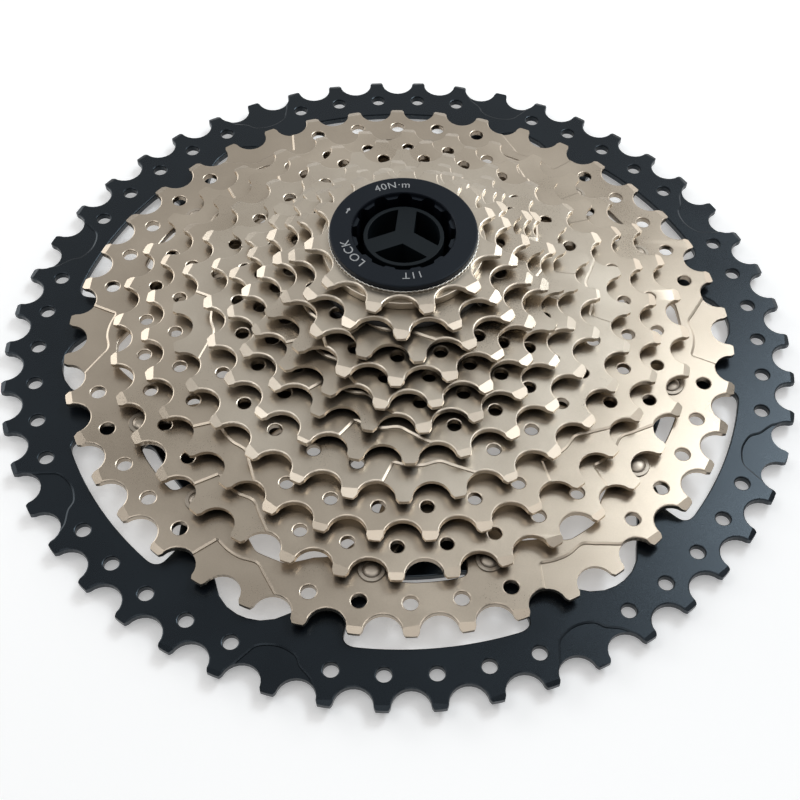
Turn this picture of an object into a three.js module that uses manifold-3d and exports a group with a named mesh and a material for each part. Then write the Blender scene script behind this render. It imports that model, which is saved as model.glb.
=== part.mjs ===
// Twelve-speed bicycle cassette with 11 to 50 teeth, on the plastic core that carries it.
// Millimetres. +Z runs along the axis from the largest sprocket to the lockring, and z = 0 is
// the underside of the core's flange. Angles run anticlockwise from +X, seen from the lockring.
import * as THREE from 'three';
import { mergeVertices } from 'three/addons/utils/BufferGeometryUtils.js';
import Module from 'manifold-3d';

const wasm = await Module();
wasm.setup();

// Driving dimensions
const CHAIN_PITCH = 12.7;
const SPROCKET_PITCH = 3.65;
const STEEL_THICKNESS = 1.8;
const LARGEST_THICKNESS = 2;
const FACE_GAP = 0.05;
const RUNNING_GAP = 0.3;

const ROLLER_SEAT_RADIUS = 4.5;
const ROLLER_SEAT_OFFSET = 0.35;
const ROLLER_SEAT_STEPS = 4;
const TIP_HEIGHT = 1;
const TIP_WIDTH = 2.2;
const TIP_WIDTH_PER_TOOTH = 1 / 60;
const HOLE_RADIUS = 1.65;
const LARGE_HOLE_RADIUS = 1.85;
const HOLE_SIDES = 6;
const CORNER_STEPS = 1;
const SHARP_CORNER = 25;

const BORE_RADIUS = 17.5;
const SPLINE_DEPTH = 0.9;
const SPLINE_COUNT = 9;
const SPLINE_HALF_ANGLE = 9;
const INDEX_SPLINE_HALF_ANGLE = 6;

const ARM_COUNT = 6;
const FIRST_ARM_ANGLE = -83.5;
const HUB_RADIUS = 30.5;
const HUB_CORNER_RADIUS = 31.5;
const ARM_HALF_WIDTH = 6.5;
const ARM_RIVET_CIRCLE = 69.9;
const ARM_RIVET_OFFSET = 11.2;
const ARM_RIVETED_SPROCKETS = 2;
const RIVET_SHANK_RADIUS = 1.9;
const LONG_RIVET_CIRCLE = 25.5;
const LONG_RIVET_COUNT = 3;
const ARM_RIVET_SIDES = 6;
const LONG_RIVET_SIDES = 8;
const RIVET_HOLE_RADIUS = RIVET_SHANK_RADIUS + RUNNING_GAP;
const SPACER_RADIUS = 22.4;
const SPACER_SIDES = 16;
const COLLAR_RADIUS = 19.6;
const COLLAR_SIDES = 30;

const CORE_FLANGE_RADIUS = 20.5;
const CORE_FLANGE_THICKNESS = 2;
const CORE_TUBE_RADIUS = 9.6;
const CORE_TUBE_WALL = 1;
const CORE_SPOKE_WIDTH = 4.8;
const CORE_SPOKE_DEPTH = 8;
const CORE_SPOKE_ANGLES = [85, 205, 325];
const CORE_WALL_INNER_RADIUS = 14.2;
const CORE_MOUTH_RADIUS = 15.6;
const CORE_MOUTH_DEPTH = 8.5;
const CORE_SLEEVE_DROP = 0.4;
const CORE_TUBE_DROP = 1.9;
const CORE_FLANGE_SIDES = 48;
const CORE_BORE_SIDES = 36;

const LOCKRING_RADIUS = 17.6;
const LOCKRING_THICKNESS = 1.55;
const LOCKRING_CHAMFER = 0.35;
const BARREL_RADIUS = 15.2;
const BARREL_DEPTH = 7;
const BARREL_CHAMFER = 0.6;
const LOCKRING_SIDES = 40;
const SOCKET_LAND_RADIUS = 11.3;
const SOCKET_NOTCH_RADIUS = 12.4;
const SOCKET_NOTCHES = 12;
const SOCKET_LAND_ANGLE = 9;
const SOCKET_NOTCH_ANGLE = 6;
const WASHER_RADIUS = 17.9;
const WASHER_THICKNESS = 0.6;
const WASHER_BORE_RADIUS = 15.7;
const WASHER_SIDES = 40;

// Each sprocket: its teeth and the angle of its first tooth gap. The four largest have a
// lightening hole under each tooth but those of their shift ramps: the circle of the holes, then
// the first ramp tooth, the teeth in each ramp and the number of ramps round the sprocket.
const SPROCKETS = [
  {
    teeth: 50,
    turn: 5.84,
    holeCircle: 93.8,
    holeRadius: LARGE_HOLE_RADIUS,
    ramps: { first: 3, span: 1, count: 8 },
  },
  {
    teeth: 42,
    turn: 2.45,
    holeCircle: 78,
    holeRadius: LARGE_HOLE_RADIUS,
    ramps: { first: 6, span: 2, count: 6 },
  },
  { teeth: 36, turn: 5.01, holeCircle: 65.5, ramps: { first: 4, span: 2, count: 4 } },
  { teeth: 32, turn: 1.1, holeCircle: 57.3, ramps: { first: 3, span: 2, count: 4 } },
  { teeth: 28, turn: 7.82 },
  { teeth: 24, turn: 10.55 },
  { teeth: 21, turn: 11.8 },
  { teeth: 19, turn: 7.61 },
  { teeth: 17, turn: 3.64 },
  { teeth: 15, turn: 1.5 },
  { teeth: 13, turn: 7.1 },
  { teeth: 11, turn: 7.24 },
];
const RIVETED_SPROCKETS = 8;

// Heights that follow from the stack
const LARGEST_BOTTOM = CORE_FLANGE_THICKNESS + FACE_GAP;
const LARGEST_TOP = LARGEST_BOTTOM + LARGEST_THICKNESS;
const STACK_TOP = LARGEST_TOP + (SPROCKETS.length - 1) * SPROCKET_PITCH;
const SPACER_THICKNESS = SPROCKET_PITCH - STEEL_THICKNESS - 2 * FACE_GAP;
const WASHER_BOTTOM = STACK_TOP + FACE_GAP;
const LOCKRING_BOTTOM = WASHER_BOTTOM + WASHER_THICKNESS + FACE_GAP;
const LOCKRING_TOP = LOCKRING_BOTTOM + LOCKRING_THICKNESS;
const CORE_TOP = STACK_TOP - CORE_SLEEVE_DROP;
const CORE_TUBE_TOP = LOCKRING_TOP - CORE_TUBE_DROP;

const MATERIALS = {
  black_alloy: new THREE.MeshStandardMaterial({ color: 0x202327, roughness: 0.42, metalness: 0.85 }),
  plated_steel: new THREE.MeshStandardMaterial({ color: 0xb9ad9c, roughness: 0.38, metalness: 0.9 }),
  rivet_steel: new THREE.MeshStandardMaterial({ color: 0x9c9890, roughness: 0.45, metalness: 0.9 }),
  black_plastic: new THREE.MeshStandardMaterial({ color: 0x1b1d1f, roughness: 0.65, metalness: 0 }),
  lockring_alloy: new THREE.MeshStandardMaterial({ color: 0x25282d, roughness: 0.5, metalness: 0.7 }),
  washer_steel: new THREE.MeshStandardMaterial({ color: 0xc6c2ba, roughness: 0.3, metalness: 0.95 }),
};

const radians = THREE.MathUtils.degToRad;
const degrees = THREE.MathUtils.radToDeg;

// A point at a radius and an angle in degrees.
function polar(radius, angle) {
  const turn = radians(angle);
  return new THREE.Vector2(radius * Math.cos(turn), radius * Math.sin(turn));
}

// A regular polygon that stands in for a circle, as points.
function ringPoints(radius, sides, centre = new THREE.Vector2()) {
  const points = [];
  for (let i = 0; i < sides; i += 1) {
    points.push(polar(radius, (360 * i) / sides).add(centre));
  }
  return points;
}

// Merges a geometry's shared corners and drops the triangles that have no area.
function closedMesh(geometry) {
  const bare = geometry.clone();
  bare.deleteAttribute('normal');
  bare.deleteAttribute('uv');
  const merged = mergeVertices(bare, 1e-4);
  const index = merged.index.array;
  const kept = [];
  for (let i = 0; i < index.length; i += 3) {
    const [a, b, c] = [index[i], index[i + 1], index[i + 2]];
    if (a !== b && b !== c && c !== a) {
      kept.push(a, b, c);
    }
  }
  merged.setIndex(kept);
  return merged;
}

function toSolid(geometry) {
  const mesh = closedMesh(geometry);
  const vertProperties = new Float32Array(mesh.attributes.position.array);
  const triVerts = new Uint32Array(mesh.index.array);
  return new wasm.Manifold(new wasm.Mesh({ numProp: 3, vertProperties, triVerts }));
}

function toGeometry(solid) {
  const mesh = solid.getMesh();
  const geometry = new THREE.BufferGeometry();
  geometry.setAttribute('position', new THREE.BufferAttribute(mesh.vertProperties, 3));
  geometry.setIndex(new THREE.BufferAttribute(mesh.triVerts, 1));
  geometry.computeVertexNormals();
  return geometry;
}

// A flat plate between two heights, with holes through it.
function plate(outline, holes, bottom, top) {
  const shape = new THREE.Shape(outline);
  for (const hole of holes) {
    shape.holes.push(new THREE.Path(hole));
  }
  const geometry = new THREE.ExtrudeGeometry(shape, { depth: top - bottom, bevelEnabled: false });
  return geometry.translate(0, 0, bottom);
}

// A turned piece from [radius, height] pairs, listed anticlockwise with the radius to the right.
function turned(profile, sides) {
  const points = profile.map(([radius, height]) => new THREE.Vector2(radius, height));
  const geometry = new THREE.LatheGeometry(points, sides);
  return closedMesh(geometry.rotateX(Math.PI / 2));
}

// Rounds the sharp corners of an outline with short bends.
function roundedOutline(corners, radius) {
  const points = [];
  corners.forEach((corner, i) => {
    const before = corners[(i + corners.length - 1) % corners.length].clone().sub(corner);
    const after = corners[(i + 1) % corners.length].clone().sub(corner);
    const turn = Math.PI - before.angleTo(after);
    if (turn < radians(SHARP_CORNER)) {
      points.push(corner.clone());
      return;
    }
    const reach = Math.min(radius * Math.tan(turn / 2), before.length() * 0.45, after.length() * 0.45);
    const start = corner.clone().add(before.setLength(reach));
    const end = corner.clone().add(after.setLength(reach));
    const bend = new THREE.QuadraticBezierCurve(start, corner, end);
    points.push(...bend.getPoints(CORNER_STEPS));
  });
  return points;
}

// A window that is alike on both sides of its middle line: half of it as [radius, degrees] pairs.
function windowOutline(half, middle, cornerRadius) {
  const right = half.map(([radius, angle]) => polar(radius, middle - angle));
  const left = half.map(([radius, angle]) => polar(radius, middle + angle)).reverse();
  return roundedOutline([...right, ...left], cornerRadius);
}

function armAngle(i) {
  return FIRST_ARM_ANGLE + (360 * i) / ARM_COUNT;
}

function rivetCentres() {
  const centres = [];
  for (let i = 0; i < ARM_COUNT; i += 1) {
    for (const side of [-1, 1]) {
      centres.push(polar(ARM_RIVET_CIRCLE, armAngle(i) + side * ARM_RIVET_OFFSET));
    }
  }
  return centres;
}

function longRivetCentres() {
  const centres = [];
  for (let i = 0; i < LONG_RIVET_COUNT; i += 1) {
    centres.push(polar(LONG_RIVET_CIRCLE, FIRST_ARM_ANGLE + (360 * i) / LONG_RIVET_COUNT));
  }
  return centres;
}

// The splined bore or shaft: ridges or teeth at one radius, splines at the other.
function splinedOutline(baseRadius, splineRadius, extraAngle) {
  const points = [];
  for (let i = 0; i < SPLINE_COUNT; i += 1) {
    const middle = (360 * i) / SPLINE_COUNT;
    const half = (i === 0 ? INDEX_SPLINE_HALF_ANGLE : SPLINE_HALF_ANGLE) + extraAngle;
    points.push(polar(baseRadius, middle - half));
    points.push(polar(splineRadius, middle - half));
    points.push(polar(splineRadius, middle + half));
    points.push(polar(baseRadius, middle + half));
  }
  return points;
}

// Roller seats with a straight-sided tooth between each two. A seat's arc ends where it runs
// along the tooth, and the tips are wider on the larger sprockets.
function toothedOutline({ teeth, turn }) {
  const pitchRadius = CHAIN_PITCH / 2 / Math.sin(Math.PI / teeth);
  const tipRadius = pitchRadius + TIP_HEIGHT;
  const tipWidth = TIP_WIDTH + TIP_WIDTH_PER_TOOTH * teeth;
  const tipHalfAngle = degrees(tipWidth / 2 / tipRadius);
  const seatSpread = 90 - 180 / teeth;
  const points = [];
  for (let i = 0; i < teeth; i += 1) {
    const gap = turn + (360 * i) / teeth;
    const tooth = gap + 180 / teeth;
    const seat = polar(pitchRadius + ROLLER_SEAT_OFFSET, gap);
    for (let k = 0; k <= ROLLER_SEAT_STEPS; k += 1) {
      const lean = seatSpread * (1 - (2 * k) / ROLLER_SEAT_STEPS);
      points.push(polar(ROLLER_SEAT_RADIUS, gap + 180 + lean).add(seat));
    }
    points.push(polar(tipRadius, tooth - tipHalfAngle));
    points.push(polar(tipRadius, tooth + tipHalfAngle));
  }
  return points;
}

function rampTeeth({ teeth, ramps }) {
  const found = new Set();
  for (let k = 0; k < ramps.count; k += 1) {
    const first = ramps.first + Math.floor((k * teeth) / ramps.count);
    for (let j = 0; j < ramps.span; j += 1) {
      found.add((first + j) % teeth);
    }
  }
  return found;
}

function lighteningHoles(sprocket) {
  if (!sprocket.holeCircle) {
    return [];
  }
  const radius = sprocket.holeRadius ?? HOLE_RADIUS;
  const ramps = rampTeeth(sprocket);
  const holes = [];
  for (let i = 0; i < sprocket.teeth; i += 1) {
    if (!ramps.has(i)) {
      const tooth = sprocket.turn + (360 * (i + 0.5)) / sprocket.teeth;
      holes.push(ringPoints(radius, HOLE_SIDES, polar(sprocket.holeCircle, tooth)));
    }
  }
  return holes;
}

// A window inside each Y-shaped arm and one between each two arms.
function armWindows({ fork, forkCorner, between, betweenCorner }) {
  const windows = [];
  for (let i = 0; i < ARM_COUNT; i += 1) {
    if (fork) {
      windows.push(windowOutline(fork, armAngle(i), forkCorner));
    }
    windows.push(windowOutline(between, armAngle(i) + 180 / ARM_COUNT, betweenCorner));
  }
  return windows;
}

// Half of a window between two straight arms, out to a ring under the teeth.
function straightArmWindow(outerRadius) {
  const angleAt = (radius) => 180 / ARM_COUNT - degrees(ARM_HALF_WIDTH / radius);
  return [[outerRadius, 8], [outerRadius, angleAt(outerRadius)],
    [HUB_CORNER_RADIUS, angleAt(HUB_CORNER_RADIUS)], [HUB_RADIUS, 6]];
}

// The windows of the four largest sprockets, each as half of its outline.
const WINDOWS = {
  50: {
    fork: [[87.6, 5], [87.6, 14.3], [81, 14.1], [68.2, 7]],
    forkCorner: 3.5,
    between: [
      [87, 0.8], [86.4, 2.8], [84.9, 4.8], [82.2, 6.8], [77, 11.5], [70, 15.2],
      [58, 18.5], [44, 20.5], [32, 17], [HUB_RADIUS, 6],
    ],
    betweenCorner: 3,
  },
  42: {
    fork: [[72.8, 3], [72.5, 6.3], [66, 7.4], [60, 5]],
    forkCorner: 2,
    between: [[72.8, 3], [69.2, 7.5], [67.5, 11.5], [58, 18], [44, 20.5], [32, 17], [HUB_RADIUS, 6]],
    betweenCorner: 3,
  },
  36: { between: straightArmWindow(59), betweenCorner: 3 },
  32: { between: straightArmWindow(51), betweenCorner: 3 },
};

function sprocketTop(i) {
  return LARGEST_TOP + i * SPROCKET_PITCH;
}

function sprocketBottom(i) {
  return i === 0 ? LARGEST_BOTTOM : sprocketTop(i) - STEEL_THICKNESS;
}

function sprocketPlate(sprocket, i) {
  const holes = lighteningHoles(sprocket);
  if (WINDOWS[sprocket.teeth]) {
    holes.push(...armWindows(WINDOWS[sprocket.teeth]));
  }
  const rivets = i < RIVETED_SPROCKETS ? longRivetCentres() : [];
  if (i < ARM_RIVETED_SPROCKETS) {
    rivets.push(...rivetCentres());
  }
  holes.push(...rivets.map((centre) => ringPoints(RIVET_HOLE_RADIUS, HOLE_SIDES, centre)));
  holes.push(splinedOutline(BORE_RADIUS, BORE_RADIUS - SPLINE_DEPTH, 0));
  return plate(toothedOutline(sprocket), holes, sprocketBottom(i), sprocketTop(i));
}

// The smallest sprocket has a collar in one piece with it, which stands on the next one.
function smallestSprocket(sprocket, i) {
  const collarBottom = sprocketTop(i - 1) + FACE_GAP;
  const bore = splinedOutline(BORE_RADIUS, BORE_RADIUS - SPLINE_DEPTH, 0);
  const collar = plate(ringPoints(COLLAR_RADIUS, COLLAR_SIDES), [bore], collarBottom, sprocketBottom(i));
  return toGeometry(toSolid(sprocketPlate(sprocket, i)).add(toSolid(collar)));
}

function spacer(i) {
  const bottom = sprocketTop(i) + FACE_GAP;
  const cornerRadius = BORE_RADIUS / Math.cos(Math.PI / SPACER_SIDES);
  const bore = ringPoints(cornerRadius, SPACER_SIDES);
  const outline = ringPoints(SPACER_RADIUS, SPACER_SIDES);
  return plate(outline, [bore], bottom, bottom + SPACER_THICKNESS);
}

// A shouldered rivet: a foot behind the largest sprocket, a shoulder that holds the second one
// off it, and a low domed head.
function armRivet() {
  const footRadius = 3.1;
  const shoulderRadius = 3.3;
  const headRadius = 3.1;
  const headHeight = 0.9;
  const footHeight = 1;
  const footTop = LARGEST_BOTTOM - FACE_GAP;
  const shoulderBottom = LARGEST_TOP + FACE_GAP;
  const shoulderTop = sprocketBottom(1) - FACE_GAP;
  const headBottom = sprocketTop(1) + FACE_GAP;
  return turned([
    [0, footTop - footHeight],
    [footRadius, footTop - footHeight],
    [footRadius, footTop],
    [RIVET_SHANK_RADIUS, footTop],
    [RIVET_SHANK_RADIUS, shoulderBottom],
    [shoulderRadius, shoulderBottom],
    [shoulderRadius, shoulderTop],
    [RIVET_SHANK_RADIUS, shoulderTop],
    [RIVET_SHANK_RADIUS, headBottom],
    [headRadius, headBottom],
    [headRadius * 0.6, headBottom + headHeight],
    [0, headBottom + headHeight],
  ], ARM_RIVET_SIDES);
}

// A long rivet that holds the eight largest sprockets together at their hubs.
function longRivet() {
  const headRadius = 2.8;
  const headHeight = 1.1;
  const footTop = LARGEST_BOTTOM - FACE_GAP;
  const headBottom = sprocketTop(RIVETED_SPROCKETS - 1) + FACE_GAP;
  return turned([
    [0, footTop - headHeight],
    [headRadius, footTop - headHeight],
    [headRadius, footTop],
    [RIVET_SHANK_RADIUS, footTop],
    [RIVET_SHANK_RADIUS, headBottom],
    [headRadius, headBottom],
    [headRadius * 0.6, headBottom + headHeight],
    [0, headBottom + headHeight],
  ], LONG_RIVET_SIDES);
}

// The plastic core: a splined sleeve that the sprockets slide over, with a thread seat for the
// lockring in its mouth, and a tube in the middle with three spokes across its end.
function carrierCore() {
  const overlap = 0.5;
  const sleeveRadius = BORE_RADIUS - RUNNING_GAP;
  const grooveRadius = sleeveRadius - SPLINE_DEPTH;
  const sideAngle = degrees(RUNNING_GAP / grooveRadius);
  const mouthBottom = CORE_TOP - CORE_MOUTH_DEPTH;
  const tubeInner = CORE_TUBE_RADIUS - CORE_TUBE_WALL;
  const sleeve = plate(splinedOutline(sleeveRadius, grooveRadius, sideAngle), [],
    CORE_FLANGE_THICKNESS - overlap, CORE_TOP);
  const flange = turned([
    [0, 0],
    [CORE_FLANGE_RADIUS, 0],
    [CORE_FLANGE_RADIUS, CORE_FLANGE_THICKNESS],
    [0, CORE_FLANGE_THICKNESS],
  ], CORE_FLANGE_SIDES);
  const hollow = turned([
    [0, CORE_FLANGE_THICKNESS],
    [CORE_WALL_INNER_RADIUS, CORE_FLANGE_THICKNESS],
    [CORE_WALL_INNER_RADIUS, mouthBottom - 1],
    [CORE_MOUTH_RADIUS, mouthBottom],
    [CORE_MOUTH_RADIUS, CORE_TOP + 1],
    [0, CORE_TOP + 1],
  ], CORE_BORE_SIDES);
  const tube = plate(ringPoints(CORE_TUBE_RADIUS, CORE_BORE_SIDES), [],
    CORE_FLANGE_THICKNESS - overlap, CORE_TUBE_TOP);
  const tubeBore = plate(ringPoints(tubeInner, CORE_BORE_SIDES), [], -1, CORE_TUBE_TOP + 1);
  let core = toSolid(sleeve).add(toSolid(flange)).subtract(toSolid(hollow));
  core = core.add(toSolid(tube)).subtract(toSolid(tubeBore));
  const spokeLength = CORE_TUBE_RADIUS - CORE_TUBE_WALL / 2;
  for (const angle of CORE_SPOKE_ANGLES) {
    const spoke = new THREE.BoxGeometry(spokeLength, CORE_SPOKE_WIDTH, CORE_SPOKE_DEPTH);
    spoke.translate(spokeLength / 2, 0, CORE_TUBE_TOP - CORE_SPOKE_DEPTH / 2);
    core = core.add(toSolid(spoke.rotateZ(radians(angle))));
  }
  return toGeometry(core);
}

// The lockring: a thin flange and a threaded barrel, with a twelve-notch tool socket through it.
function lockring() {
  const barrelTip = LOCKRING_BOTTOM - BARREL_DEPTH;
  const blank = turned([
    [0, barrelTip],
    [BARREL_RADIUS - BARREL_CHAMFER, barrelTip],
    [BARREL_RADIUS, barrelTip + BARREL_CHAMFER],
    [BARREL_RADIUS, LOCKRING_BOTTOM],
    [LOCKRING_RADIUS, LOCKRING_BOTTOM],
    [LOCKRING_RADIUS, LOCKRING_TOP - LOCKRING_CHAMFER],
    [LOCKRING_RADIUS - LOCKRING_CHAMFER, LOCKRING_TOP],
    [0, LOCKRING_TOP],
  ], LOCKRING_SIDES);
  const socketOutline = [];
  for (let i = 0; i < SOCKET_NOTCHES; i += 1) {
    const notch = (360 * i) / SOCKET_NOTCHES;
    socketOutline.push(polar(SOCKET_LAND_RADIUS, notch - SOCKET_LAND_ANGLE));
    socketOutline.push(polar(SOCKET_NOTCH_RADIUS, notch - SOCKET_NOTCH_ANGLE));
    socketOutline.push(polar(SOCKET_NOTCH_RADIUS, notch + SOCKET_NOTCH_ANGLE));
    socketOutline.push(polar(SOCKET_LAND_RADIUS, notch + SOCKET_LAND_ANGLE));
  }
  const socket = plate(socketOutline, [], barrelTip - 1, LOCKRING_TOP + 1);
  return toGeometry(toSolid(blank).subtract(toSolid(socket)));
}

function lockWasher() {
  const bore = ringPoints(WASHER_BORE_RADIUS, WASHER_SIDES);
  const top = WASHER_BOTTOM + WASHER_THICKNESS;
  return plate(ringPoints(WASHER_RADIUS, WASHER_SIDES), [bore], WASHER_BOTTOM, top);
}

const cassette = new THREE.Group();

function addPiece(name, geometry, material, centre = new THREE.Vector2()) {
  const mesh = new THREE.Mesh(geometry, MATERIALS[material]);
  mesh.name = name;
  mesh.position.set(centre.x, centre.y, 0);
  cassette.add(mesh);
}

SPROCKETS.forEach((sprocket, i) => {
  const smallest = i === SPROCKETS.length - 1;
  const geometry = smallest ? smallestSprocket(sprocket, i) : sprocketPlate(sprocket, i);
  const material = i === 0 ? 'black_alloy' : 'plated_steel';
  addPiece(`sprocket_${sprocket.teeth}t`, geometry, material);
});

for (let i = 0; i < SPROCKETS.length - 2; i += 1) {
  const name = `spacer_${SPROCKETS[i].teeth}_${SPROCKETS[i + 1].teeth}`;
  addPiece(name, spacer(i), 'black_plastic');
}

rivetCentres().forEach((centre, i) => {
  const number = String(i + 1).padStart(2, '0');
  addPiece(`arm_rivet_${number}`, armRivet(), 'rivet_steel', centre);
});

longRivetCentres().forEach((centre, i) => {
  addPiece(`long_rivet_${i + 1}`, longRivet(), 'rivet_steel', centre);
});

addPiece('carrier_core', carrierCore(), 'black_plastic');
addPiece('lock_washer', lockWasher(), 'washer_steel');
addPiece('lockring', lockring(), 'lockring_alloy');

export default cassette;
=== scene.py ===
# Looks for a twelve-speed bicycle cassette: toothed plates with bevelled tips, shift ramps and
# lightening holes, rivets, spacers, a notched lockring and the plastic core that carries the set.
# Meshes are made in millimetres and scaled to metres when they become pieces.
import math

import bmesh
import bpy
from mathutils import Matrix, Vector


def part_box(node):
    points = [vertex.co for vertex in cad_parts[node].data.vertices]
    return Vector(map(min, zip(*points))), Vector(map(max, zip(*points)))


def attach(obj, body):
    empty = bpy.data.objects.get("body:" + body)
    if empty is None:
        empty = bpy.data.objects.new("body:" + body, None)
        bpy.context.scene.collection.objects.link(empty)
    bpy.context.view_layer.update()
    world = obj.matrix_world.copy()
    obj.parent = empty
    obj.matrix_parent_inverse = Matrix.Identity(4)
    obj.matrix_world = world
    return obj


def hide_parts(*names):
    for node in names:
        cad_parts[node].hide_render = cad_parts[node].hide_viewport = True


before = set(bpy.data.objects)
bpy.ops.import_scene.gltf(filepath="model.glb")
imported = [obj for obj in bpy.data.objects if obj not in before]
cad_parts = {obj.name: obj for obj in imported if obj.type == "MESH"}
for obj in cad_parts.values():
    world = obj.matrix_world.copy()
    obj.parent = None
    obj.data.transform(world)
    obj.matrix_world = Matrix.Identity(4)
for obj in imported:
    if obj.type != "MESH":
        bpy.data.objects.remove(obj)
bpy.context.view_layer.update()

MM = 0.001
CHAIN_PITCH = 12.7
SEAT_RADIUS = 4.5
SEAT_OFFSET = 0.35
SEAT_STEPS = 12
TIP_HEIGHT = 1.0
TIP_WIDTH = 2.2
TIP_WIDTH_PER_TOOTH = 1 / 60
# A tooth's tip from side to side, as parts of half its width and millimetres past its height.
TIP_SHAPE = ((-1.05, -0.25), (-0.92, 0), (0, 0.04), (0.92, 0), (1.05, -0.25))
HOLE_RADIUS = 1.6
LARGE_HOLE_RADIUS = 1.8
PLATE_BEVEL = 0.3
RAMP_DEPTH = 0.5
LARGEST_RAMP_DEPTH = 0.38
STEEL_THICKNESS = 1.8
COLLAR_RADIUS = 19.6
SPACER_RADIUS = 22.4
SPACER_BEVEL = 0.25
BORE_RADIUS = 17.5
SPLINE_DEPTH = 0.9
SPLINE_COUNT = 9
SPLINE_HALF_ANGLE = 9
INDEX_SPLINE_HALF_ANGLE = 6
ARM_COUNT = 6
FIRST_ARM_ANGLE = -83.5
ARM_HALF_WIDTH = 6.5
HUB_CORNER = 31.5
HUB_RADIUS = 30.5
WINDOW_CORNER = 3.5
ARM_RIVET_CIRCLE = 69.9
ARM_RIVET_OFFSET = 11.2
LONG_RIVET_CIRCLE = 25.5
LONG_RIVET_COUNT = 3
SHANK_RADIUS = 1.9
ARM_RIVET_RADIUS = 3.2
LONG_RIVET_RADIUS = 2.8
RUNNING_GAP = 0.3
FACE_GAP = 0.05
CORE_FLANGE_RADIUS = 20.5
CORE_FLANGE_THICKNESS = 2
CORE_TUBE_RADIUS = 9.6
CORE_TUBE_BORE = 8.6
THREAD_PITCH = 1
# A face that is this close to level stays flat, and edges sharper than this stay sharp.
FLAT_FACE = 0.995
SHARP_ANGLE = 14
SAME_POINT = 0.002

# Each sprocket: its teeth, the angle of its first tooth gap, the circle of its lightening holes,
# the gap or tooth that its first ramp is centred on, the number of ramps, and the teeth before
# and after that gap that have no hole.
SPROCKETS = [
    {"teeth": 50, "turn": 5.84, "holes": 93.8, "ramp": 3, "ramps": 8, "solid": (0, 0)},
    {"teeth": 42, "turn": 2.45, "holes": 78, "ramp": 7, "ramps": 6, "solid": (-1, 0)},
    {"teeth": 36, "turn": 5.01, "holes": 65.5, "ramp": 5, "ramps": 4, "solid": (-1, 0)},
    {"teeth": 32, "turn": 1.1, "holes": 57.3, "ramp": 4, "ramps": 4, "solid": (-1, 0)},
    {"teeth": 28, "turn": 7.82, "holes": 48.5, "ramp": 7, "ramps": 4, "solid": (-1, 0)},
    {"teeth": 24, "turn": 10.55, "holes": 41, "ramp": 1, "ramps": 3, "solid": (-2, 0)},
    {"teeth": 21, "turn": 11.8, "holes": 35.5, "ramp": 7, "ramps": 3, "solid": (-1, 0)},
    {"teeth": 19, "turn": 7.61, "holes": 31, "ramp": 12, "ramps": 3, "solid": (-1, 0)},
    {"teeth": 17, "turn": 3.64, "holes": 27.5, "ramp": 10, "ramps": 2, "solid": (-1, 0)},
    {"teeth": 15, "turn": 1.5, "holes": 23.5, "ramp": 4, "ramps": 2, "solid": (-1, 0)},
    {"teeth": 13, "turn": 7.1, "holes": 0, "ramp": 0, "ramps": 0, "solid": (0, 0)},
    {"teeth": 11, "turn": 7.24, "holes": 0, "ramp": 0, "ramps": 0, "solid": (0, 0)},
]
LARGEST_TEETH = 50
SMALLEST_TEETH = 11
LARGE_HOLE_TEETH = 42
ARM_RIVETED_SPROCKETS = 2
RIVETED_SPROCKETS = 8
LOOSE_SPACERS = ("spacer_19_17", "spacer_17_15", "spacer_15_13")


# ---------------------------------------------------------------- materials

def new_material(name):
    material = bpy.data.materials.new(name)
    material.use_nodes = True
    tree = material.node_tree
    shader = next(n for n in tree.nodes if n.type == "BSDF_PRINCIPLED")
    return material, tree, shader


def noise(tree, scale, detail=3.0, rough=0.5):
    coords = tree.nodes.new("ShaderNodeTexCoord")
    node = tree.nodes.new("ShaderNodeTexNoise")
    node.inputs["Scale"].default_value = scale
    node.inputs["Detail"].default_value = detail
    node.inputs["Roughness"].default_value = rough
    tree.links.new(coords.outputs["Object"], node.inputs["Vector"])
    return node.outputs["Fac"]


def ramp(tree, factor, low, high, start=0.3, end=0.7):
    node = tree.nodes.new("ShaderNodeValToRGB")
    node.color_ramp.elements[0].position = start
    node.color_ramp.elements[0].color = low
    node.color_ramp.elements[1].position = end
    node.color_ramp.elements[1].color = high
    tree.links.new(factor, node.inputs["Fac"])
    return node.outputs["Color"]


def mix_colours(tree, factor, first, second, blend="MIX"):
    node = tree.nodes.new("ShaderNodeMix")
    node.data_type = "RGBA"
    node.blend_type = blend
    if isinstance(factor, float):
        node.inputs["Factor"].default_value = factor
    else:
        tree.links.new(factor, node.inputs["Factor"])
    tree.links.new(first, node.inputs["A"])
    tree.links.new(second, node.inputs["B"])
    return node.outputs["Result"]


def value_range(tree, factor, low, high):
    node = tree.nodes.new("ShaderNodeMapRange")
    node.inputs["From Min"].default_value = 0.3
    node.inputs["From Max"].default_value = 0.7
    node.inputs["To Min"].default_value = low
    node.inputs["To Max"].default_value = high
    tree.links.new(factor, node.inputs["Value"])
    return node.outputs["Result"]


def add_bump(tree, shader, height, distance, strength):
    node = tree.nodes.new("ShaderNodeBump")
    node.inputs["Strength"].default_value = strength
    node.inputs["Distance"].default_value = distance
    tree.links.new(height, node.inputs["Height"])
    tree.links.new(node.outputs["Normal"], shader.inputs["Normal"])


CLOUD_SCALE = 45
# How far the painted shade in recesses looks for cover.
PAINTED_SHADE_REACH = 0.0045


def recess_painted_shade(tree):
    """Painted shade: dark where a surface is closely covered, white in the open."""
    cover = tree.nodes.new("ShaderNodeAmbientOcclusion")
    cover.samples = 6
    cover.inputs["Distance"].default_value = PAINTED_SHADE_REACH
    return ramp(tree, cover.outputs["AO"], (0.2, 0.18, 0.15, 1), (1, 1, 1, 1), 0.1, 0.62)


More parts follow.
